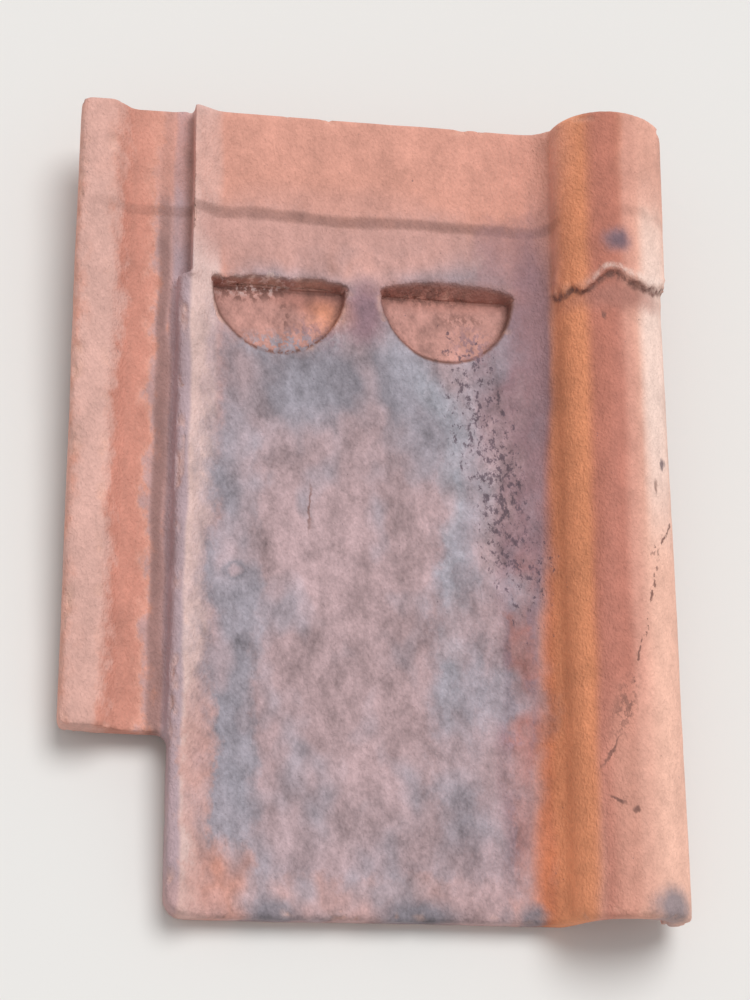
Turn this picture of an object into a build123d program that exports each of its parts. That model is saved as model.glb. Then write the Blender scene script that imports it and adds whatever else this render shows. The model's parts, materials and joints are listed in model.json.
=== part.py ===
"""A pressed clay pantile with a flat pan, a roll on its right edge and a side lock on its left.

The tile is drawn in its own plane, with x from its left edge, y from its tail and z from the underside
of its pan, in millimetres. That plane leans, because the tile lies on its two nibs and its tail.
The origin is on the floor, under the middle of the tile.
"""
from build123d import *
from math import atan2, cos, degrees, radians, sin, sqrt, tan
import os

os.makedirs("parts", exist_ok=True)

# Overall size. The roll of the left neighbour covers the side lap.
length = 330.0
cover_width = 206.0
side_lap = 36.0
body = 12.0  # thickness of the pan
arris = 2.5  # rounding of the worn edges
clear = 10.0  # how far the cutters reach past the clay

# Roll on the right edge
roll_height = 29.5  # crown above the pan, at the tail
roll_radius = 23.5
roll_taper = 2.0  # the roll is this much smaller in radius at the head
valley_radius = 12.0  # concave foot between pan and roll
flank_draft = 6.0  # degrees
flap_rounding = 4.0
flap_clearance = 1.5  # between the flap and the neighbour's gutter

# Hollow under the roll, the same all along, as it is drawn from the press
hollow_radius = 13.5
hollow_draft = 14.0  # degrees, on its left side
hollow_foot_rounding = 5.0
hollow_flap_rounding = 2.0

# Side lock on the left edge: lip, gutter, then the rim that bounds the pan
lip_width = 14.0
lip_height = 8.0  # above the gutter
gutter_floor = 8.0  # clay under the gutter
gutter_width = 18.0
rim_gap = 6.0  # between the neighbour's roll and the rim
rim_draft = 2.0
rim_crest = 5.0
rim_slope = 10.0
rim_rounding = 3.2
rim_height = 5.5  # above the pan

# Head: collar on the roll and narrowed rim, both from the same line
collar_line = 255.0  # distance from the tail
collar_rise = 1.4
collar_shift = (0.4, 1.0)
collar_root = 3.0  # how far it reaches into the roll's wall
rim_notch = 4.0

# Tail: the lock stops short of it, to clear the roll of the tile below
lock_setback = 70.0
corner_radius = 8.0
lock_corner_radius = 4.0
notch_radius = 5.0

# Two half-moon recesses at the collar line
moon_width = 54.0
moon_height = 30.0
moon_deep = 8.0
moon_shallow = 1.0
moon_first = 40.0  # centre of the left moon, from the rim
moon_spacing = 69.0

# Two nibs under the moons, which hang on the batten
nib_width = 44.0
nib_top = 12.0  # flat tip, measured along the tile
nib_drop = 18.0
nib_face = 238.0  # load face, from the tail
nib_back_slope = 10.0
nib_corner = 6.0

# Places that follow from the sizes
tile_width = cover_width + side_lap
rim_left = side_lap + rim_gap
gutter_left = rim_left - rim_draft - gutter_width
pan_left = rim_left + rim_crest + rim_slope
flap_edge = gutter_floor + flap_clearance
crown = body + roll_height
moon_line = collar_line

# The tile as it lies: the arrises of the tail and of the nibs touch the floor
lean = atan2(nib_drop, nib_face)
tail_y = -((length - 2 * arris) * cos(lean) - (crown - 2 * arris) * sin(lean)) / 2
tile_plane = Plane(
    origin=(
        -tile_width / 2,
        tail_y - arris * cos(lean) + arris * sin(lean),
        arris - arris * sin(lean) - arris * cos(lean),
    ),
    x_dir=(1, 0, 0),
    z_dir=(0, -sin(lean), cos(lean)),
)
tile_up = Axis(tile_plane.origin, tile_plane.z_dir)
tile_run = Axis(tile_plane.origin, tile_plane.y_dir)


def across(y):
    """Plane square to the tile's length, seen from the tail, at a distance from the tail."""
    return Plane(
        origin=tile_plane.from_local_coords((0, y, 0)),
        x_dir=tile_plane.x_dir,
        z_dir=-tile_plane.y_dir,
    )


def over(z):
    """Plane parallel to the pan, seen from above, at a height over its underside."""
    return tile_plane.offset(z)


def along(x):
    """Plane along the tile's length and height, at a distance from the left edge."""
    return Plane(
        origin=tile_plane.from_local_coords((x, 0, 0)),
        x_dir=tile_plane.y_dir,
        z_dir=tile_plane.x_dir,
    )


def narrowing(y):
    """How much smaller the roll's radius is at a distance from the tail."""
    return roll_taper * y / length


def roll_centre(y):
    """Centre of the roll's arc, which keeps the flap's rounding at the tile's right edge."""
    radius = roll_radius - narrowing(y)
    centre_z = crown - roll_radius
    flap_x = tile_width - 2 * narrowing(y) - flap_rounding
    flap_z = flap_edge + flap_rounding
    draft = radians(flank_draft)
    return flap_x + (flap_z - centre_z) * tan(draft) - (radius - flap_rounding) / cos(draft), centre_z


def tile_section(y):
    """The section of the tile at a distance from the tail, before the hollow is cut."""
    radius = roll_radius - narrowing(y)
    cx, cz = roll_centre(y)
    draft = radians(flank_draft)
    valley_z = body + valley_radius
    valley_x = cx - sqrt((radius + valley_radius) ** 2 - (valley_z - cz) ** 2)
    reach = valley_radius / (radius + valley_radius)
    roll_foot = (valley_x + (cx - valley_x) * reach, valley_z + (cz - valley_z) * reach)
    valley_start = (valley_x, body)
    halfway = (atan2(cz - valley_z, cx - valley_x) - radians(90)) / 2
    valley_mid = (valley_x + valley_radius * cos(halfway), valley_z + valley_radius * sin(halfway))
    flank_top = (cx + radius * cos(draft), cz + radius * sin(draft))
    flank_end = (flank_top[0] + (flank_top[1] - flap_edge) * tan(draft), flap_edge)
    with BuildSketch(across(y)) as section:
        with BuildLine():
            FilletPolyline(
                flank_top,
                flank_end,
                (cx + hollow_radius / 2, flap_edge),
                (cx - hollow_radius / 2, 0),
                (0, 0),
                (0, gutter_floor + lip_height),
                (lip_width, gutter_floor + lip_height),
                (gutter_left, gutter_floor),
                (rim_left - rim_draft, gutter_floor),
                (rim_left, body + rim_height),
                (rim_left + rim_crest, body + rim_height),
                (pan_left, body),
                valley_start,
                radius=[flap_rounding, 5, 5, arris, 4, 4, 4, 2.5, rim_rounding, 3, 10],
            )
            ThreePointArc(valley_start, valley_mid, roll_foot)
            ThreePointArc(roll_foot, (cx, cz + radius), flank_top)
        make_face()
    return section.sketch


# Half-moon recess: deep at its straight side, shallow at its curved side
with BuildPart() as moon:
    with BuildSketch(over(body + 1)):
        with BuildLine():
            half_width = moon_width / 2
            EllipticalCenterArc((0, moon_line), half_width, moon_height, 180, arc_size=180)
            Line((-half_width, moon_line), (half_width, moon_line))
        make_face()
    extrude(amount=-(moon_deep + 2))
    moon_floor = Plane(
        origin=tile_plane.from_local_coords((0, moon_line, body - moon_deep)),
        x_dir=tile_plane.x_dir,
        z_dir=tile_plane.z_dir.rotate(Axis.X, -degrees(atan2(moon_deep - moon_shallow, moon_height))),
    )
    split(bisect_by=moon_floor, keep=Keep.TOP)

# Nib: its load face is square to the pan, its back slopes
with BuildPart() as nib:
    with BuildSketch(along(0)):
        with BuildLine():
            Polyline(
                (nib_face, body / 2),
                (nib_face, -nib_drop),
                (nib_face + nib_top, -nib_drop),
                (nib_face + nib_top + nib_back_slope, 0),
                (nib_face + nib_top + nib_back_slope, body / 2),
                close=True,
            )
        make_face()
    extrude(amount=nib_width / 2, both=True)
    fillet(nib.edges().filter_by(tile_up).group_by(tile_run)[0], nib_corner)
    fillet(nib.faces().sort_by(tile_up)[0].edges(), arris)

moon_places = [rim_left + moon_first, rim_left + moon_first + moon_spacing]

with BuildPart() as roof_tile:
    loft(sections=[tile_section(0), tile_section(length)], ruled=True)

    # Hollow under the roll, open at both ends and below
    with BuildSketch(across(-clear)):
        cx, cz = roll_centre(length / 2)
        left, right = radians(hollow_draft), radians(flank_draft)
        top_left = (cx - hollow_radius * cos(left), cz + hollow_radius * sin(left))
        top_right = (cx + hollow_radius * cos(right), cz + hollow_radius * sin(right))
        with BuildLine():
            Polyline(
                top_left,
                (top_left[0] - (top_left[1] + clear) * tan(left), -clear),
                (top_right[0] + (top_right[1] + clear) * tan(right), -clear),
                top_right,
            )
            ThreePointArc(top_right, (cx, cz + hollow_radius), top_left)
        make_face()
    extrude(amount=-(length + 2 * clear), mode=Mode.SUBTRACT)
    foot = (top_left[0] - top_left[1] * tan(left), length / 2, 0)
    flap = (top_right[0] + (top_right[1] - flap_edge) * tan(right), length / 2, flap_edge)
    for corner, rounding in ((foot, hollow_foot_rounding), (flap, hollow_flap_rounding)):
        place = tile_plane.from_local_coords(corner)
        fillet(roof_tile.edges().sort_by_distance(place)[0], rounding)

    # Worn edges all round the tail and the head
    for end in (0, -1):
        fillet(roof_tile.faces().sort_by(tile_run)[end].edges(), arris)

    # Seen from above, the lock is cut back at the tail, and the tail's left corner is rounded
    with BuildSketch(over(-nib_drop)):
        with Locations((-clear, -clear)):
            Rectangle(
                clear + rim_left + corner_radius,
                clear + lock_setback + lock_corner_radius,
                align=(Align.MIN, Align.MIN),
            )
        with BuildLine():
            FilletPolyline(
                (rim_left, lock_setback),
                (rim_left, 0),
                (tile_width, 0),
                (tile_width, length),
                (0, length),
                (0, lock_setback),
                radius=[notch_radius, corner_radius, 0, 0, 0, lock_corner_radius],
                close=True,
            )
        make_face(mode=Mode.SUBTRACT)
    extrude(amount=nib_drop + crown, mode=Mode.SUBTRACT)

    # Collar: a fuller arc over the roll, from the collar line to the head
    with BuildSketch(across(collar_line)):
        radius = roll_radius - narrowing(collar_line)
        centre_x, centre_z = roll_centre(collar_line)
        with Locations((centre_x + collar_shift[0], centre_z + collar_shift[1])):
            Circle(radius + collar_rise)
        with Locations((centre_x, centre_z)):
            Circle(radius - collar_root, mode=Mode.SUBTRACT)
        with Locations((centre_x, flap_edge + 1)):
            Rectangle(4 * radius, 4 * radius, align=(Align.CENTER, Align.MAX), mode=Mode.SUBTRACT)
    extrude(amount=-(length - arris - collar_line))

    # The rim is narrower beside the collar
    with BuildSketch(over(gutter_floor)):
        with Locations((rim_left + rim_notch, collar_line)):
            Rectangle(
                gutter_width / 2 + rim_notch,
                length - collar_line + clear,
                align=(Align.MAX, Align.MIN),
            )
    extrude(amount=body + rim_height, mode=Mode.SUBTRACT)

    for x in moon_places:
        add(nib.part.moved(Location(tile_plane.x_dir * x)))
        add(moon.part.moved(Location(tile_plane.x_dir * x)), mode=Mode.SUBTRACT)

roof_tile.part.label = "roof_tile"
export_step(roof_tile.part, "parts/roof_tile.step")
print(roof_tile.part.bounding_box().size, roof_tile.part.volume)
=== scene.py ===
"""A weathered, pressed clay pantile: its worn surface, its stains and a plain studio around it."""
import json
from math import asin, cos, pi, radians, sin

import bpy
import numpy as np
from bpy.props import FloatProperty, FloatVectorProperty
from mathutils import Euler, Matrix, Vector, noise


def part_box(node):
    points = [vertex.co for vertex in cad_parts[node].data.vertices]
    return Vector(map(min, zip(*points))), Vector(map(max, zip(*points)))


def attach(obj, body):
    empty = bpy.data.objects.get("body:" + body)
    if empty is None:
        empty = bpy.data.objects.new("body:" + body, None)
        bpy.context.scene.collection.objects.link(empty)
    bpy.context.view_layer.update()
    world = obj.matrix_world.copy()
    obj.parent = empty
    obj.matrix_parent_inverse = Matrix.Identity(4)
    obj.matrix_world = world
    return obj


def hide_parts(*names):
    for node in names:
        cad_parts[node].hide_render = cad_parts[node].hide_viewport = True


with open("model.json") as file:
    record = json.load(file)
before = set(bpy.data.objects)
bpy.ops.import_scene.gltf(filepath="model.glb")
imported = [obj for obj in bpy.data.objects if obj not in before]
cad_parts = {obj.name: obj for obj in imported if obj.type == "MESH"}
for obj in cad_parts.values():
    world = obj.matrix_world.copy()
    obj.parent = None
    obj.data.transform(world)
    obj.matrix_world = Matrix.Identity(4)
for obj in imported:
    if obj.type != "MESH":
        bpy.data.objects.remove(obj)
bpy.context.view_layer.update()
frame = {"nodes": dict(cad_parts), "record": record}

bl_info = {
    "name": "Clay Pantile",
    "version": (1, 0, 0),
    "blender": (4, 5, 0),
    "location": "View3D > Sidebar > Pantile",
    "description": "Adds a weathered clay pantile and a plain studio for it",
    "category": "Add Mesh",
}

NODE = "roof_tile"
MM = 0.001

# Sizes of the tile, in millimetres, in its own plane: x from its left edge, y from its tail, z from its underside
LENGTH = 330.0
WIDTH = 242.0
BODY = 12.0
CROWN = 41.5
ARRIS = 2.5
VISIBLE = 283.0  # the tile above covers what lies further from the tail
PAN = (57.0, 185.0)
COLLAR = 255.0
LIP_CREST = 214.0  # where the wave of the collar's lip reaches furthest
MOONS = (82.0, 151.0)
MOON_HALF_WIDTH = 27.0
MOON_HEIGHT = 30.0
MOON_DEEP = 8.0

# Wear, in millimetres: the largest waves of each kind
LONG_WAVE = 70.0
SHORT_WAVE = 11.0
CHIP = 21.0
NIBBLE = 9.0
CRUMBLE = 3.2
LIP_WAVE = 27.0
LIP_SWING = 2.4
LIP_RAGS = 9.0
LIP_LUMPS = 5.0
BREAKS = ((2.6, 1.8), (4.6, 0.8))  # how far each moon's straight edge broke away, and how roughly
UNDERSIDE_KEPT = 0.64  # share of the cells that stay underneath

# Patterns in the clay's colour, in millimetres: the largest waves of each kind
BROAD_WANDER = 32.0
FINE_WANDER = 8.0
DRIFT = {"soft": 12.0, "gritty": 16.0, "wobbly": 6.0, "straight": 4.0, "moon": 1.8}  # how far outlines wander
CLOUD = 26.0
WEATHER = 17.0
STREAK = (6.0, 50.0)
SPECK = 2.8
CRUMB = 2.6
SAND = 1.1  # real grains are finer, and are drawn this coarse to show
GRAIN_HEIGHT = 0.5

# Studio: the camera stands where the photograph was taken from, seen from the middle of the pan, in millimetres
CAMERA_PLACE = (-155.0, -282.0, 887.0)
LAMP_DIRECTION = (0.20, 0.37, 0.91)
LAMP_SPREAD = 35.0  # degrees


def tile_frame():
    """The tile's own plane in the frame's metres, and how far it leans on its nibs."""
    nib_face = next(mount for mount in frame["record"]["mounts"] if mount["name"] == "left_nib_face")
    lean = -asin(nib_face["axis"][2])
    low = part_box(NODE)[0]
    origin = Vector((
        low.x,
        low.y + (ARRIS - ARRIS * cos(lean) + (CROWN - ARRIS) * sin(lean)) * MM,
        low.z + ARRIS * (1 - sin(lean) - cos(lean)) * MM,
    ))
    return origin, lean


ORIGIN, LEAN = tile_frame()
ASKEW = (0.61, 0.43, 0.87)  # turn of all noise, so that its lattice does not follow the tile's sides
TILE_TO_FRAME = Matrix.Translation(ORIGIN) @ Matrix.Rotation(LEAN, 4, "X") @ Matrix.Scale(MM, 4)


def linear(hex_colour):
    """An sRGB hex colour as the linear values that shaders use."""
    channels = (int(hex_colour[i:i + 2], 16) / 255 for i in (0, 2, 4))
    return tuple(c / 12.92 if c <= 0.04045 else ((c + 0.055) / 1.055) ** 2.4 for c in channels)


def colour(name, description, hex_colour):
    """A colour that the user can change."""
    return FloatVectorProperty(
        name=name, description=description, subtype="COLOR", size=3, min=0, max=1, default=linear(hex_colour)
    )


def size(name, description, default, largest):
    """A size in metres that the user can change."""
    return FloatProperty(
        name=name, description=description, default=default * MM, min=0, max=largest * MM,
        subtype="DISTANCE", unit="LENGTH", precision=5,
    )


class PantileSettings(bpy.types.PropertyGroup):
    """Wear and colours of the clay tile."""

    cell: size("Cell", "Width of a mesh cell on the worn surface", 1.25, 6)
    dish: size("Dish", "How far the middle of the pan has sunk", 1.0, 4)
    warp: size("Warp", "Height of the long waves that firing left in the clay", 0.35, 2)
    ripple: size("Ripple", "Height of the short waves that pressing left in the clay", 0.1, 1)
    chip: size("Chips", "Depth of the chips along the edges", 1.7, 4)
    ragged: size("Ragged collar", "How far the collar's lip wanders", 2.6, 5)

    clay: colour("Clay", "Fired terracotta on the crown of the roll", "db9d8b")
    # Red clay in the lock's gutter, and painted shade on the roll's left flank
    red_clay_and_shade: colour("Shaded clay", "Terracotta on the roll's left flank", "c17a69")
    washed_clay: colour("Washed clay", "Terracotta that the rain keeps clean in the valley", "c87855")
    # Rubbed clay on chips and low on the roll, and painted highlight on the roll's right side
    rubbed_clay_and_highlight: colour("Rubbed clay", "Pale rubbed terracotta on the roll's right side", "f2bfaa")
    # Painted light at the foot of the roll; also a bright patch in the left moon
    sunlit_clay: colour("Sunlit clay", "Brightest terracotta, at the foot of the roll", "ec9a70")
    # Lime bloom, and painted highlight on the roll's right side and on the crest of the collar's lip
    lime_and_highlight: colour("Lime", "Palest lime bloom, high on the roll", "f6dace")
    peach: colour("Peach clay", "Thinly weathered terracotta at the head and the tail", "cd9c92")
    moon_clay: colour("Moon clay", "Floor of the moons", "be8c82")
    # Burnt clay on the pan, and painted shade under the moons' straight edges, on their broken slopes and below
    # the collar's lip
    burnt_clay_and_shade: colour("Burnt clay", "Brown clay under the moons' straight edges and the collar's lip", "b0776a")
    lilac: colour("Lilac bloom", "Outer side of the rim", "b39ba1")
    cream: colour("Cream", "Lime bloom on the rim", "dabcb6")
    rose: colour("Rose bloom", "Warm heart of the pan", "b5999b")
    mauve: colour("Mauve bloom", "Weathered skin of the pan", "b09a9f")
    slate: colour("Slate bloom", "Cool side of the tide mark", "9d98a2")
    chalk: colour("Chalk bloom", "Pale end of the tide mark", "aba9b3")
    soot: colour("Soot", "Dark patch below the moons", "837d85")
    plum: colour("Plum", "Dirty strip beside the valley", "92737a")
    crust: colour("Crust", "Black crust that grows in specks", "574752")
    # Dirt in corners and marks, and painted shadow below the collar's lip and on the moons' broken slopes
    dirt_and_shadow: colour("Dirt", "Dirt that stays in corners", "7c564d")


class StudioSettings(bpy.types.PropertyGroup):
    """Floor, light and lens of the studio."""

    floor: colour("Floor", "Matt paint of the studio floor", "e9e7e4")
    floor_width: FloatProperty(
        name="Floor width", description="Side of the square floor", default=8, min=1,
        unit="LENGTH", subtype="DISTANCE",
    )
    lamp: FloatProperty(name="Softbox", description="Strength of the softbox", default=1.85, min=0, max=10)
    sky: FloatProperty(name="Fill light", description="Strength of the light all round", default=0.48, min=0)
    backdrop: FloatProperty(
        name="Backdrop", description="Brightness of the backdrop, where 1 is white", default=0.85, min=0, max=1,
        subtype="FACTOR",
    )
    lens: FloatProperty(
        name="Lens", description="Focal length on a 36 mm high sensor", default=86, min=20, max=300, unit="CAMERA"
    )


def add(tree, kind, inputs=None, **settings):
    """Add a node, give it its settings, and join or set its inputs."""
    node = tree.nodes.new(kind)
    for name, value in settings.items():
        setattr(node, name, value)
    for key, value in (inputs or {}).items():
        if isinstance(value, bpy.types.NodeSocket):
            tree.links.new(value, node.inputs[key])
        else:
            node.inputs[key].default_value = value
    return node


def step_between(low, high, values):
    """0 below low, 1 above high, and smooth between them."""
    share = np.clip((values - low) / (high - low), 0, 1)
    return share * share * (3 - 2 * share)


def bell(centre, half, values):
    """1 at a centre, falling smoothly to 0 at a distance from it."""
    return 1 - step_between(0, 1, np.abs(values - centre) / half)


def fractal(points, wave, octaves=3, seed=0.0):
    """Smooth noise of about -1 to 1 at each point, whose largest waves have that length."""
    shift = Vector((seed * 17.3, seed * 5.1, seed * 9.7))
    turned = points @ np.array(Euler(ASKEW).to_matrix()) / wave
    return np.array([noise.fractal(Vector(p) + shift, 1.0, 2.0, octaves) for p in turned])


class ClaySurface:
    """Points of a mesh in the tile's plane, with what is needed to wear them."""

    def __init__(self, mesh):
        count = len(mesh.vertices)
        self.mesh = mesh
        self.points = np.empty(count * 3)
        mesh.vertices.foreach_get("co", self.points)
        self.points = self.points.reshape(-1, 3)
        edges = np.empty(len(mesh.edges) * 2, dtype=int)
        mesh.edges.foreach_get("vertices", edges)
        self.edges = edges.reshape(-1, 2)
        self.ties = np.bincount(edges, minlength=count).reshape(-1, 1)

    def normals(self):
        """The direction that the clay faces at each point."""
        self.mesh.vertices.foreach_set("co", self.points.ravel())
        self.mesh.update()
        values = np.empty(len(self.points) * 3)
        self.mesh.vertex_normals.foreach_get("vector", values)
        return values.reshape(-1, 3)

    def spread(self, values, times=1):
        """Values averaged over each point's neighbours."""
        values = values.reshape(len(values), -1)
        for _ in range(times):
            total = np.zeros_like(values)
            np.add.at(total, self.edges[:, 0], values[self.edges[:, 1]])
            np.add.at(total, self.edges[:, 1], values[self.edges[:, 0]])
            values = total / self.ties
        return values.squeeze()

    def sharpness(self):
        """Positive on edges that stand out, negative in corners."""
        bulge = np.sum((self.points - self.spread(self.points)) * self.normals(), axis=1)
        return self.spread(bulge, 2)

    def paint(self, name, values):
        """Keep one value for each point, for the material."""
        layer = self.mesh.attributes.new(name, "FLOAT", "POINT")
        layer.data.foreach_set("value", values)


def baked_mesh(blank):
    """The mesh of an object with its modifiers applied. The object is removed."""
    graph = bpy.context.evaluated_depsgraph_get()
    mesh = bpy.data.meshes.new_from_object(blank.evaluated_get(graph))
    bpy.data.objects.remove(blank)
    return mesh


def placed(name, mesh):
    """An object for a mesh, in the scene."""
    thing = bpy.data.objects.new(name, mesh)
    bpy.context.collection.objects.link(thing)
    return thing


def even_clay(cell):
    """A copy of the CAD tile in its own plane, with even cells that follow its length and width."""
    mesh = frame["nodes"][NODE].data.copy()
    mesh.transform(TILE_TO_FRAME.inverted())
    blank = placed("even_clay", mesh)
    remesh = blank.modifiers.new("Even cells", "REMESH")
    remesh.mode = "VOXEL"
    remesh.voxel_size = cell / MM
    smooth = blank.modifiers.new("Soft cells", "SMOOTH")
    smooth.factor = 0.5
    smooth.iterations = 1
    return baked_mesh(blank)


def thinned_underside(mesh):
    """The same clay with fewer and larger cells underneath, where it is plain."""
    blank = placed("thinned_clay", mesh)
    normals = np.empty(len(mesh.vertices) * 3)
    mesh.vertex_normals.foreach_get("vector", normals)
    under = np.nonzero(normals[2::3] < -0.1)[0].tolist()
    blank.vertex_groups.new(name="underside").add(under, 1.0, "REPLACE")
    thin = blank.modifiers.new("Thin underside", "DECIMATE")
    thin.ratio = UNDERSIDE_KEPT
    thin.vertex_group = "underside"
    return baked_mesh(blank)


def sag(points, normals):
    """1 where the pan has sunk most, falling to 0 round it and on faces that don't look up."""
    x, y, _ = points.T
    middle = sum(PAN) / 2
    half = (PAN[1] - PAN[0]) / 2
    across = np.clip(1 - ((x - middle) / half) ** 2, 0, 1)
    along = bell(VISIBLE / 2, VISIBLE * 0.6, y)
    return across * along * step_between(0.3, 0.8, normals[:, 2])


def chips(points, edge, nibbles):
    """How deep the edges are chipped, from 0 to about 1: long chips, and small bites between them."""
    worn = step_between(0.01, 0.07, edge)
    bites = step_between(0.25, 0.55, fractal(points, CHIP, 5, seed=3))
    bites = np.maximum(bites, 0.7 * step_between(0.3, 0.55, nibbles))
    return worn * bites * (0.7 + 0.6 * fractal(points, CRUMBLE, 2, seed=4))


def broken_moon_edges(points, nibbles):
    """How far the moons' straight edges have broken away, in shallow bows, from 0 to 1."""
    x, y, z = points.T
    broken = np.zeros(len(points))
    for moon, (reach, rough) in zip(MOONS, BREAKS):
        from_middle = np.clip((x - moon) / MOON_HALF_WIDTH, -1, 1)
        bow = reach * (1 - from_middle ** 2) ** 0.6 + rough * nibbles
        slope = np.clip(1 - (y - COLLAR) / np.maximum(bow, 0.1), 0, 1) * (y > COLLAR - 1)
        broken += slope * (np.abs(x - moon) < MOON_HALF_WIDTH + 0.5)
    return broken * np.clip((z - BODY + MOON_DEEP) / MOON_DEEP, 0, 1)


def torn_lip(points, ragged):
    """How far the collar's lip runs down the tile in a ragged wave, and how far its lumps stand out."""
    x, y, z = points.T
    on_collar = bell(COLLAR, 12, y) * step_between(BODY + 2, BODY + 8, z)
    wave = LIP_SWING * np.cos((x - LIP_CREST) / LIP_WAVE * 2 * pi) - 1.0
    rags = ragged * fractal(points * (1, 0, 1), LIP_RAGS, 5, seed=5)
    lumps = 0.35 * ragged * fractal(points, LIP_LUMPS, 3, seed=6)
    return on_collar * (wave + rags), on_collar * lumps


def wear_clay(clay, settings):
    """Sink the pan, warp the clay, chip its edges, break the moons' edges and roughen the collar's lip."""
    x, y, z = clay.points.T
    normals = clay.normals()
    edge = clay.sharpness()
    nibbles = fractal(clay.points, NIBBLE, 4, seed=7)
    warp = settings.warp / MM * fractal(clay.points, LONG_WAVE, 2, seed=1)
    ripple = settings.ripple / MM * fractal(clay.points, SHORT_WAVE, 3, seed=2)
    sunk = settings.dish / MM * sag(clay.points, normals)
    chipped = chips(clay.points, edge, nibbles)
    broken = broken_moon_edges(clay.points, nibbles)
    lip_shift, lip_lumps = torn_lip(clay.points, settings.ragged / MM)

    over_roll = step_between(BODY + 3, BODY + 8, z)
    moon_foot = bell(COLLAR, 6, y) * (z < BODY)
    # Painted shadow below the collar's lip, and painted highlight with pale bloom on its crest, kept for the
    # material
    clay.paint("lip_shadow", bell(COLLAR - 1.2, 2.6, y) * over_roll)
    clay.paint("lip_crest", bell(COLLAR + 2.2, 2.6, y) * over_roll * step_between(198, 212, x))
    clay.paint("sheltered", 0.95 * step_between(-0.1, 0.5, -normals[:, 2]))
    clay.paint("chipped", np.clip(chipped, 0, 1))
    # Where the moons' straight edges broke away, which the material paints in shade
    clay.paint("broken", broken)
    clay.paint("hollow", step_between(0.03, 0.09, -edge) * (1 - 0.9 * moon_foot))

    clay.points = clay.points + normals * (warp + ripple - settings.chip / MM * chipped + lip_lumps)[:, None]
    clay.points[:, 2] -= sunk + 0.85 * MOON_DEEP * broken
    clay.points[:, 1] += lip_shift
    clay.normals()


# Stains, and then marks over the moons, in the order in which they lie on each other. Some of them are
# painted highlight and painted shade, on the roll, in the moons and below the collar's lip. Each is a rounded
# shape in the tile's plane, in millimetres: its finish, centre, half width and half length, softness,
# turn in degrees, kind of outline, strength.
STAINS = (
    # Roll, with painted highlight and pale wear on its right side, and side lock
    # Painted highlight, with pale wear, on the roll's right side
    ("rubbed_clay_and_highlight", (234, 150), (9, 230), 0.70, 0, "straight", 0.9),
    # Painted highlight, with pale bloom, high on the roll's right side
    ("lime_and_highlight", (231, 222), (5, 50), 0.80, 0, "straight", 0.85),
    ("red_clay_and_shade", (24, 200), (5, 160), 0.60, 0, "gritty", 0.5),
    ("cream", (9, 200), (7, 150), 0.70, 0, "gritty", 0.45),
    ("mauve", (37, 190), (4, 140), 0.60, 0, "gritty", 0.6),
    ("dirt_and_shadow", (35.5, 176), (1.6, 110), 0.90, 0, "straight", 0.6),
    # Rim, skin of the pan and head
    ("clay", (140, 312), (110, 26), 0.30, 0, "gritty", 0.7),
    ("cream", (51, 150), (6.5, 230), 0.30, 0, "straight", 0.95),
    ("lilac", (42.5, 110), (3.5, 230), 0.30, 0, "straight", 0.95),
    ("mauve", (121, 128), (67, 152), 0.12, 0, "gritty", 1.0),
    ("peach", (104, 277), (60, 20), 0.30, 0, "soft", 1.0),
    ("clay", (104, 309), (64, 23), 0.25, 0, "gritty", 0.6),
    ("dirt_and_shadow", (120, 284), (72, 1.8), 0.90, 0, "straight", 0.55),
    # Cool tide mark round the rosy heart of the pan, with soot and the pale streak
    ("slate", (111, 126), (50, 100), 0.14, 0, "gritty", 0.8),
    ("rose", (108, 112), (42, 84), 0.40, 0, "gritty", 0.95),
    ("soot", (103, 214), (31, 13), 0.60, 0, "gritty", 0.9),
    ("soot", (137, 198), (11, 16), 0.80, 20, "gritty", 0.45),
    ("soot", (62, 70), (7, 28), 0.80, 0, "gritty", 0.6),
    ("slate", (66, 98), (8, 78), 0.50, 0, "gritty", 0.7),
    ("slate", (152, 90), (7, 60), 0.60, 0, "gritty", 0.5),
    ("chalk", (143, 212), (5.5, 22), 0.80, 40, "soft", 1.0),
    ("chalk", (154, 178), (3.2, 20), 0.90, 0, "soft", 0.9),
    ("chalk", (151, 132), (2.4, 36), 0.95, 0, "gritty", 0.6),
    # Dirty strip beside the valley, the clean valley, painted light at the foot of the roll and painted shade on
    # its left flank
    ("plum", (183, 195), (12, 90), 0.30, -3, "soft", 0.9),
    ("plum", (170, 218), (8, 26), 0.60, 0, "gritty", 0.6),
    ("plum", (176, 272), (9, 14), 0.60, 0, "gritty", 0.6),
    ("plum", (178, 84), (7.5, 62), 0.35, -3, "soft", 0.95),
    ("burnt_clay_and_shade", (179.5, 76), (4, 50), 0.60, 0, "gritty", 0.6),
    ("washed_clay", (197.6, 130), (8, 230), 0.50, -3.2, "straight", 1.0),
    # Painted light at the foot of the roll, where it lies in shade
    ("sunlit_clay", (197.5, 110), (4.2, 190), 0.90, -0.8, "straight", 0.95),
    # Painted shade on the roll's left flank
    ("red_clay_and_shade", (210, 150), (6, 230), 0.50, 0, "straight", 0.9),
    # Tail
    ("rubbed_clay_and_highlight", (216, 32), (7, 36), 0.80, 0, "straight", 0.35),
    ("peach", (53, 44), (5, 34), 0.60, 0, "gritty", 0.75),
    ("peach", (64, 13), (11, 13), 0.40, 0, "gritty", 0.9),
    ("washed_clay", (66, 12), (8, 9), 0.70, 0, "gritty", 0.4),
    ("peach", (100, 5), (60, 9), 0.50, 0, "gritty", 0.5),
)
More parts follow.
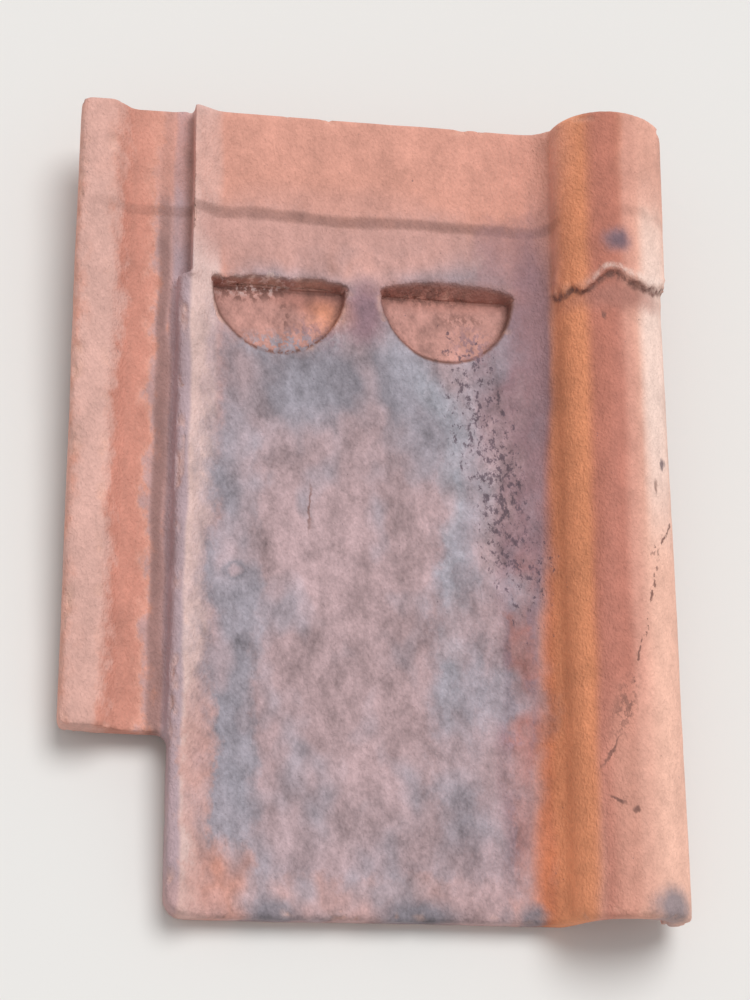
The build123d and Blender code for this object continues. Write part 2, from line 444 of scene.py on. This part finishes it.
MARKS = (
    # Between and in the moons, with painted shade on their floors under the straight edges
    ("plum", (117, 244), (8, 13), 0.50, 0, "wobbly", 1.0),
    ("crust", (117, 243), (4, 9), 0.90, 0, "wobbly", 0.35),
    # Painted shade on the left moon's floor under its straight edge
    ("burnt_clay_and_shade", (97, 249), (14, 6), 0.60, 0, "soft", 0.75),
    # Painted shade along the right moon's straight edge
    ("burnt_clay_and_shade", (150, 255), (26, 5), 0.70, 0, "wobbly", 0.6),
    ("dirt_and_shadow", (142, 255), (18, 3), 0.60, 0, "dashed", 0.7),
    ("dirt_and_shadow", (158, 246), (9, 3), 0.80, 0, "dashed", 0.6),
    ("plum", (162, 233), (7, 8), 0.80, 20, "dashed", 0.8),
    ("plum", (98, 235), (12, 8), 0.80, 25, "dashed", 0.7),
    ("slate", (84, 229), (15, 5), 0.80, 0, "dashed", 0.8),
    ("dirt_and_shadow", (85, 243), (1.0, 8), 0.80, 0, "dashed", 0.7),
    ("sunlit_clay", (103, 243), (8, 7), 0.90, 0, "soft", 0.5),
    ("dirt_and_shadow", (71, 252.5), (15, 3.6), 0.50, 6, "dashed", 0.8),
    ("cream", (71, 255), (15, 3.2), 0.50, 6, "dotted", 0.9),
    # Smudges along the tail
    ("soot", (83, 2), (9, 6), 0.60, 0, "wobbly", 0.9),
    ("soot", (138, 2), (14, 6), 0.60, 0, "wobbly", 0.95),
    ("soot", (182, 2), (5, 5), 0.60, 0, "wobbly", 0.9),
    ("soot", (230, 4), (8, 7), 0.60, 0, "wobbly", 0.85),
    # Spots at the collar and on the roll, and painted shade below the collar's lip
    ("plum", (215, 271), (5, 4.5), 0.80, 0, "wobbly", 1.0),
    ("crust", (216, 270), (3, 3), 0.90, 0, "wobbly", 0.5),
    ("dirt_and_shadow", (209, 239), (0.9, 2), 0.60, 0, "wobbly", 0.8),
    ("crust", (233, 179), (1.1, 2.2), 0.60, 0, "wobbly", 0.8),
    ("dirt_and_shadow", (229, 168), (0.8, 2.6), 0.70, 0, "wobbly", 0.7),
    # Painted shade below the collar's lip
    ("burnt_clay_and_shade", (216, 248), (17, 6), 0.70, 0, "wobbly", 0.85),
    # Small ring on the pan
    ("soot", (66, 134), (4.6, 3.8), 0.30, 0, "wobbly", 0.8),
    ("mauve", (66, 134), (2.8, 2.1), 0.50, 0, "wobbly", 0.9),
    # Cracks on the roll and on the pan
    ("dirt_and_shadow", (232, 149), (0.5, 11), 0.60, -35, "dashed", 0.9),
    ("dirt_and_shadow", (222, 112), (0.55, 34), 0.60, -13, "dashed", 0.9),
    ("dirt_and_shadow", (213, 80), (3.2, 13), 0.80, -18, "dashed", 0.6),
    ("dirt_and_shadow", (207, 62), (0.5, 7), 0.60, -30, "wobbly", 0.8),
    ("dirt_and_shadow", (209, 44), (3.2, 0.7), 0.60, -20, "wobbly", 0.9),
    ("dirt_and_shadow", (216, 40), (1.4, 0.9), 0.60, -30, "wobbly", 0.9),
    ("dirt_and_shadow", (95, 161), (0.5, 9), 0.60, 0, "wobbly", 0.7),
)
PAN_SKIN = ((118, 110), (66, 150), 0.15)  # centre, half sizes and softness of the pan's weathered skin
CRUST_STRIP = ((169.5, 179), (10.5, 52), 0.6, 13)  # the same and the turn of the thick crust
BOXY = ("gritty", "straight")  # outlines of stains that are rounded rectangles; the others are ovals
FAR = 1e5  # half height of a stain, so that it goes right through the clay


def from_centre(tree, place, centre, half, turn=0.0):
    """Places as shares of the half width and half length that they lie from a centre."""
    if turn:
        return add(tree, "ShaderNodeMapping", {
            "Vector": place, "Location": (*centre, 0), "Rotation": (0, 0, radians(turn)), "Scale": (*half, FAR),
        }, vector_type="TEXTURE").outputs[0]
    return add(tree, "ShaderNodeVectorMath", {
        0: place, 1: (1 / half[0], 1 / half[1], 0), 2: (-centre[0] / half[0], -centre[1] / half[1], 0),
    }, operation="MULTIPLY_ADD").outputs[0]


def patch(tree, place, centre, half, soft, turn=0.0, strength=1.0, boxy=True):
    """A mark shaped as a soft rounded rectangle or oval, whether stain or painted light and shade, as a socket
    that has its strength inside it.
    """
    reach = from_centre(tree, place, centre, half, turn)
    power = 1
    if boxy:
        reach = add(tree, "ShaderNodeVectorMath", {0: reach, 1: reach}, operation="MULTIPLY").outputs[0]
        power = 2
    reach = add(tree, "ShaderNodeVectorMath", {0: reach}, operation="LENGTH")
    return add(tree, "ShaderNodeMapRange", {
        "Value": reach.outputs["Value"], "From Min": (1 + soft) ** power, "From Max": (1 - soft) ** power,
        "To Max": strength,
    }, interpolation_type="SMOOTHSTEP").outputs[0]


def swirl(tree, place, wave, detail, roughness):
    """Smooth noise of about -0.3 to 0.3 in all three directions, whose largest waves have that length."""
    pattern = add(tree, "ShaderNodeTexNoise", {
        "Vector": place, "Scale": 1 / wave, "Detail": detail, "Roughness": roughness,
    })
    return add(tree, "ShaderNodeVectorMath", {
        0: pattern.outputs["Color"], 1: (0.5, 0.5, 0.5),
    }, operation="SUBTRACT").outputs[0]


def wandered(tree, place, noise_socket, drift):
    """Places moved about by noise, so that what is drawn there has a wandering outline."""
    return add(tree, "ShaderNodeVectorMath", {
        0: noise_socket, 1: (drift, drift, 0), 2: place,
    }, operation="MULTIPLY_ADD").outputs[0]


class WeatheredSkin:
    """The colour of the clay's skin, as coats that are laid over each other in a node tree."""

    def __init__(self, tree, settings):
        self.tree = tree
        self.settings = settings
        self.surface = (*settings.clay, 1)
        at = add(tree, "ShaderNodeTexCoord").outputs["Object"]
        self.place = add(tree, "ShaderNodeMapping", {
            "Vector": at, "Location": ORIGIN, "Rotation": (LEAN, 0, 0), "Scale": (MM, MM, MM),
        }, vector_type="TEXTURE").outputs[0]
        self.askew = add(tree, "ShaderNodeMapping", {
            "Vector": self.place, "Rotation": ASKEW, "Scale": (1.15, 0.8, 1.0),
        }).outputs[0]
        broad = swirl(tree, self.askew, BROAD_WANDER, 2.0, 0.6)
        self.fine = swirl(tree, self.askew, FINE_WANDER, 3.0, 0.72)
        soft = wandered(tree, self.place, broad, DRIFT["soft"])
        self.gritty = wandered(tree, soft, self.fine, DRIFT["gritty"])
        wobbly = wandered(tree, self.place, self.fine, DRIFT["wobbly"])
        straight = wandered(tree, self.place, broad, DRIFT["straight"])
        self.crumbs = self.pattern(self.askew, CRUMB, 3.0, 0.6)
        dashes = add(tree, "ShaderNodeMapRange", {"Value": self.crumbs, "From Min": 0.48, "From Max": 0.54})
        dots = add(tree, "ShaderNodeMapRange", {"Value": self.crumbs, "From Min": 0.47, "From Max": 0.42})
        self.outlines = {
            "soft": (soft, None), "gritty": (self.gritty, None), "wobbly": (wobbly, None),
            "straight": (straight, None), "dashed": (wobbly, dashes.outputs[0]),
            "dotted": (wobbly, dots.outputs[0]),
        }

    def pattern(self, place, wave, detail, roughness=0.5):
        """Smooth noise round 0.5, whose largest waves have that length."""
        return add(self.tree, "ShaderNodeTexNoise", {
            "Vector": place, "Scale": 1 / wave, "Detail": detail, "Roughness": roughness,
        }).outputs[0]

    def share(self, name):
        """The share of something that wear_clay painted on the mesh."""
        return add(self.tree, "ShaderNodeAttribute", attribute_name=name).outputs["Fac"]

    def both(self, first, second):
        """Two masks, or a mask and its strength, multiplied."""
        return add(self.tree, "ShaderNodeMath", {0: first, 1: second}, operation="MULTIPLY").outputs[0]

    def coat(self, finish, mask):
        """Lay a coat of another colour over the surface, where its mask is above 0.

        A coat is laid as soon as its mask is there, because Cycles can hold only some 250 numbers at once.
        """
        colours = {6: self.surface, 7: (*getattr(self.settings, finish), 1)}  # the node's two colour sockets
        self.surface = add(self.tree, "ShaderNodeMix", {0: mask, **colours}, data_type="RGBA").outputs[2]

    def stain(self, stains):
        """Lay each mark of a table, stains and painted light and shade alike, over the surface."""
        for finish, centre, half, softness, turn, outline, strength in stains:
            drawn, gaps = self.outlines[outline]
            mask = patch(self.tree, drawn, centre, half, softness, turn, strength, outline in BOXY)
            self.coat(finish, self.both(mask, gaps) if gaps else mask)

    def cloud_pan(self):
        """Cool and warm clouds on the pan. Returns where the pan is."""
        pan = patch(self.tree, self.gritty, *PAN_SKIN)
        clouds = self.pattern(self.askew, CLOUD, 2.0)
        for extreme, finish in ((0.65, "slate"), (0.35, "rose")):
            spread = add(self.tree, "ShaderNodeMapRange", {
                "Value": clouds, "From Min": 0.5, "From Max": extreme, "To Max": 0.62,
            })
            self.coat(finish, self.both(spread.outputs[0], pan))
        return pan

    def bare_moons(self):
        """Floors of bare clay in the moons, with a thin dark outline, on the tail's side of the straight edge."""
        far = add(self.tree, "ShaderNodeSeparateXYZ", {0: self.place}).outputs["Y"]
        below_line = add(self.tree, "ShaderNodeMapRange", {
            "Value": far, "From Min": COLLAR + 1, "From Max": COLLAR,
        })
        shaky = wandered(self.tree, self.place, self.fine, DRIFT["moon"])
        for moon in MOONS:
            for finish, grow in (("dirt_and_shadow", 0.7), ("moon_clay", -0.9)):
                half = (MOON_HALF_WIDTH + grow, MOON_HEIGHT + grow)
                reach = from_centre(self.tree, shaky, (moon, COLLAR), half)
                oval = add(self.tree, "ShaderNodeVectorMath", {0: reach}, operation="LENGTH")
                inside = add(self.tree, "ShaderNodeMapRange", {
                    "Value": oval.outputs["Value"], "From Min": 1.02, "From Max": 0.98,
                })
                self.coat(finish, self.both(inside.outputs[0], below_line.outputs[0]))

    def paint_shade_on_breaks(self):
        """Painted shade on the slopes where the moons' straight edges broke away: darkest where the break begins,
        and brown further down.
        """
        broken = self.share("broken")
        for finish, full, strength in (("dirt_and_shadow", 0.08, 0.6), ("burnt_clay_and_shade", 0.35, 0.7)):
            mask = add(self.tree, "ShaderNodeMapRange", {
                "Value": broken, "From Min": full / 3, "From Max": full, "To Max": strength,
            })
            self.coat(finish, mask.outputs[0])

    def line_lip(self):
        """Pale bloom and painted highlight on the crest of the collar's lip, and painted shadow below it."""
        for finish, name, strength in (("lime_and_highlight", "lip_crest", 0.7), ("dirt_and_shadow", "lip_shadow", 1.0)):
            share = self.share(name)
            uneven = add(self.tree, "ShaderNodeMapRange", {
                "Value": self.crumbs, "From Min": 0.4, "From Max": 0.56,
                "To Min": strength * 0.35, "To Max": strength,
            })
            self.coat(finish, self.both(share, uneven.outputs[0]))

    def grow_crust(self):
        """Black crust, thick beside the valley and thin elsewhere."""
        specks = self.pattern(self.askew, SPECK, 3.0, 0.7)
        thick = patch(self.tree, self.gritty, *CRUST_STRIP)
        limit = add(self.tree, "ShaderNodeMapRange", {"Value": thick, "To Min": 0.70, "To Max": 0.50})
        over = add(self.tree, "ShaderNodeMath", {0: specks, 1: limit.outputs[0]}, operation="SUBTRACT")
        crust = add(self.tree, "ShaderNodeMapRange", {
            "Value": over.outputs[0], "From Max": 0.09, "To Max": 0.8,
        })
        self.coat("crust", crust.outputs[0])

    def shade(self, pan):
        """Darken and lighten the colour, most on the open pan. Returns the grain of the surface."""
        across, along = STREAK
        streaked = add(self.tree, "ShaderNodeMapping", {
            "Vector": self.place, "Scale": (1 / across, 1 / along, 1 / across),
        }).outputs[0]
        weather = self.pattern(self.askew, WEATHER, 4.0, 0.85)
        streaks = self.pattern(streaked, 1.0, 1.0)
        sand = self.pattern(self.askew, SAND, 1.0, 0.7)
        for pattern, on_roll, on_pan in ((weather, 0.9, 2.1), (streaks, 0.1, 0.35), (sand, 0.25, 0.25)):
            contrast = add(self.tree, "ShaderNodeMapRange", {"Value": pan, "To Min": on_roll, "To Max": on_pan})
            centred = add(self.tree, "ShaderNodeMath", {0: pattern, 1: 0.5}, operation="SUBTRACT")
            shade = add(self.tree, "ShaderNodeMath", {
                0: centred.outputs[0], 1: contrast.outputs[0], 2: 1.0,
            }, operation="MULTIPLY_ADD")
            self.surface = add(self.tree, "ShaderNodeVectorMath", {
                0: self.surface, "Scale": shade.outputs[0],
            }, operation="SCALE").outputs[0]
        return add(self.tree, "ShaderNodeMath", {0: self.crumbs, 1: sand}).outputs[0]


def clay_material(settings):
    """Pressed terracotta, fired and then weathered for decades on a roof.

    It is matt and sandy, and lime and soot have bloomed on it where the rain ran over the tile.
    """
    material = bpy.data.materials.new("weathered_pressed_terracotta")
    material.use_nodes = True
    tree = material.node_tree
    shader = tree.nodes["Principled BSDF"]

    skin = WeatheredSkin(tree, settings)
    # Stains, with painted highlight and shade on the roll
    skin.stain(STAINS)
    pan = skin.cloud_pan()
    skin.bare_moons()
    # Painted shade on the moons' broken slopes
    skin.paint_shade_on_breaks()
    skin.stain(MARKS)
    # Painted highlight and shadow at the collar's lip
    skin.line_lip()
    skin.grow_crust()
    # Dirt stays in corners, chips show fresh clay, and the underside never weathered
    skin.coat("dirt_and_shadow", skin.both(skin.share("hollow"), 0.5))
    skin.coat("rubbed_clay_and_highlight", skin.both(skin.share("chipped"), 0.5))
    sheltered = skin.share("sheltered")
    skin.coat("clay", sheltered)
    open_pan = add(tree, "ShaderNodeMath", {0: pan, 1: sheltered}, operation="SUBTRACT", use_clamp=True)
    grain = skin.shade(open_pan.outputs[0])

    bump = add(tree, "ShaderNodeBump", {"Height": grain, "Distance": GRAIN_HEIGHT * MM, "Strength": 1.0})
    tree.links.new(skin.surface, shader.inputs["Base Color"])
    tree.links.new(bump.outputs[0], shader.inputs["Normal"])
    shader.inputs["Roughness"].default_value = 0.85
    shader.inputs["IOR"].default_value = 1.5
    return material


class PANTILE_OT_tile(bpy.types.Operator):
    """Add the weathered clay tile over its CAD solid"""

    bl_idname = "pantile.tile"
    bl_label = "Add Clay Tile"

    def execute(self, context):
        settings = context.scene.pantile
        mesh = even_clay(settings.cell)
        wear_clay(ClaySurface(mesh), settings)
        mesh = thinned_underside(mesh)
        mesh.transform(TILE_TO_FRAME)
        for vertex in mesh.vertices:
            vertex.co.z = max(vertex.co.z, 0)  # wear never pushes the clay into the floor
        mesh.materials.clear()
        mesh.materials.append(clay_material(settings))
        mesh.shade_smooth()
        piece = placed("clay_pantile", mesh)
        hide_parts(NODE)
        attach(piece, "root")
        return {"FINISHED"}


class PANTILE_OT_studio(bpy.types.Operator):
    """Add the floor, the light and the camera"""

    bl_idname = "pantile.studio"
    bl_label = "Add Studio"

    def execute(self, context):
        settings = context.scene.pantile_studio
        self.add_floor(settings)
        self.add_light(context, settings)
        self.add_camera(context, settings)
        context.scene.view_settings.view_transform = "Standard"
        return {"FINISHED"}

    def add_floor(self, settings):
        """A square of board, painted matt, so that it shows only the tile's soft shadow."""
        half = settings.floor_width / 2
        mesh = bpy.data.meshes.new("studio_floor")
        corners = [(-half, -half, 0), (half, -half, 0), (half, half, 0), (-half, half, 0)]
        mesh.from_pydata(corners, [], [(0, 1, 2, 3)])
        material = bpy.data.materials.new("matt_painted_board")
        material.use_nodes = True
        shader = material.node_tree.nodes["Principled BSDF"]
        shader.inputs["Base Color"].default_value = (*settings.floor, 1)
        shader.inputs["Roughness"].default_value = 0.9
        mesh.materials.append(material)
        placed("studio_floor", mesh)

    def add_light(self, context, settings):
        """A large softbox high over the tile's head, and white light all round, paler to the eye."""
        world = bpy.data.worlds.new("studio")
        context.scene.world = world
        world.use_nodes = True
        tree = world.node_tree
        background = tree.nodes["Background"]
        background.inputs["Color"].default_value = (1, 1, 1, 1)
        rays = add(tree, "ShaderNodeLightPath").outputs
        seen = add(tree, "ShaderNodeMath", {0: rays["Is Camera Ray"], 1: rays["Is Glossy Ray"]})
        seen = add(tree, "ShaderNodeMath", {0: seen.outputs[0], 1: rays["Is Transmission Ray"]}, use_clamp=True)
        strength = add(tree, "ShaderNodeMapRange", {
            "Value": seen.outputs[0], "To Min": settings.sky, "To Max": settings.backdrop,
        })
        tree.links.new(strength.outputs[0], background.inputs["Strength"])
        lamp = bpy.data.lights.new("softbox", "SUN")
        lamp.energy = settings.lamp
        lamp.angle = radians(LAMP_SPREAD)
        key = placed("softbox", lamp)
        key.rotation_euler = Vector(LAMP_DIRECTION).to_track_quat("Z", "Y").to_euler()

    def add_camera(self, context, settings):
        """A camera that looks at the middle of the pan, with the tile's length upright in its picture."""
        middle = Vector((WIDTH / 2, LENGTH / 2, BODY))
        target = TILE_TO_FRAME @ middle
        place = TILE_TO_FRAME @ (middle + Vector(CAMERA_PLACE))
        forward = (target - place).normalized()
        up_tile = TILE_TO_FRAME.to_3x3().col[1].normalized()
        right = forward.cross(up_tile).normalized()
        up = right.cross(forward)
        camera = placed("camera", bpy.data.cameras.new("camera"))
        camera.matrix_world = Matrix.Translation(place) @ Matrix((right, up, -forward)).transposed().to_4x4()
        camera.data.sensor_fit = "VERTICAL"
        camera.data.sensor_height = 36
        camera.data.lens = settings.lens
        context.scene.camera = camera


class PANTILE_PT_sidebar(bpy.types.Panel):
    """The pantile's operators and settings"""

    bl_idname = "PANTILE_PT_sidebar"
    bl_label = "Clay Pantile"
    bl_space_type = "VIEW_3D"
    bl_region_type = "UI"
    bl_category = "Pantile"

    def draw(self, context):
        for settings, operator in (
            (context.scene.pantile, PANTILE_OT_tile),
            (context.scene.pantile_studio, PANTILE_OT_studio),
        ):
            column = self.layout.column()
            for name in settings.__annotations__:
                column.prop(settings, name)
            column.operator(operator.bl_idname)


CLASSES = (PantileSettings, StudioSettings, PANTILE_OT_tile, PANTILE_OT_studio, PANTILE_PT_sidebar)


def register():
    for cls in CLASSES:
        bpy.utils.register_class(cls)
    bpy.types.Scene.pantile = bpy.props.PointerProperty(type=PantileSettings)
    bpy.types.Scene.pantile_studio = bpy.props.PointerProperty(type=StudioSettings)


def unregister():
    del bpy.types.Scene.pantile_studio
    del bpy.types.Scene.pantile
    for cls in reversed(CLASSES):
        bpy.utils.unregister_class(cls)


def main():
    register()
    bpy.ops.pantile.tile()
    bpy.ops.pantile.studio()


if __name__ == "__main__":
    main()
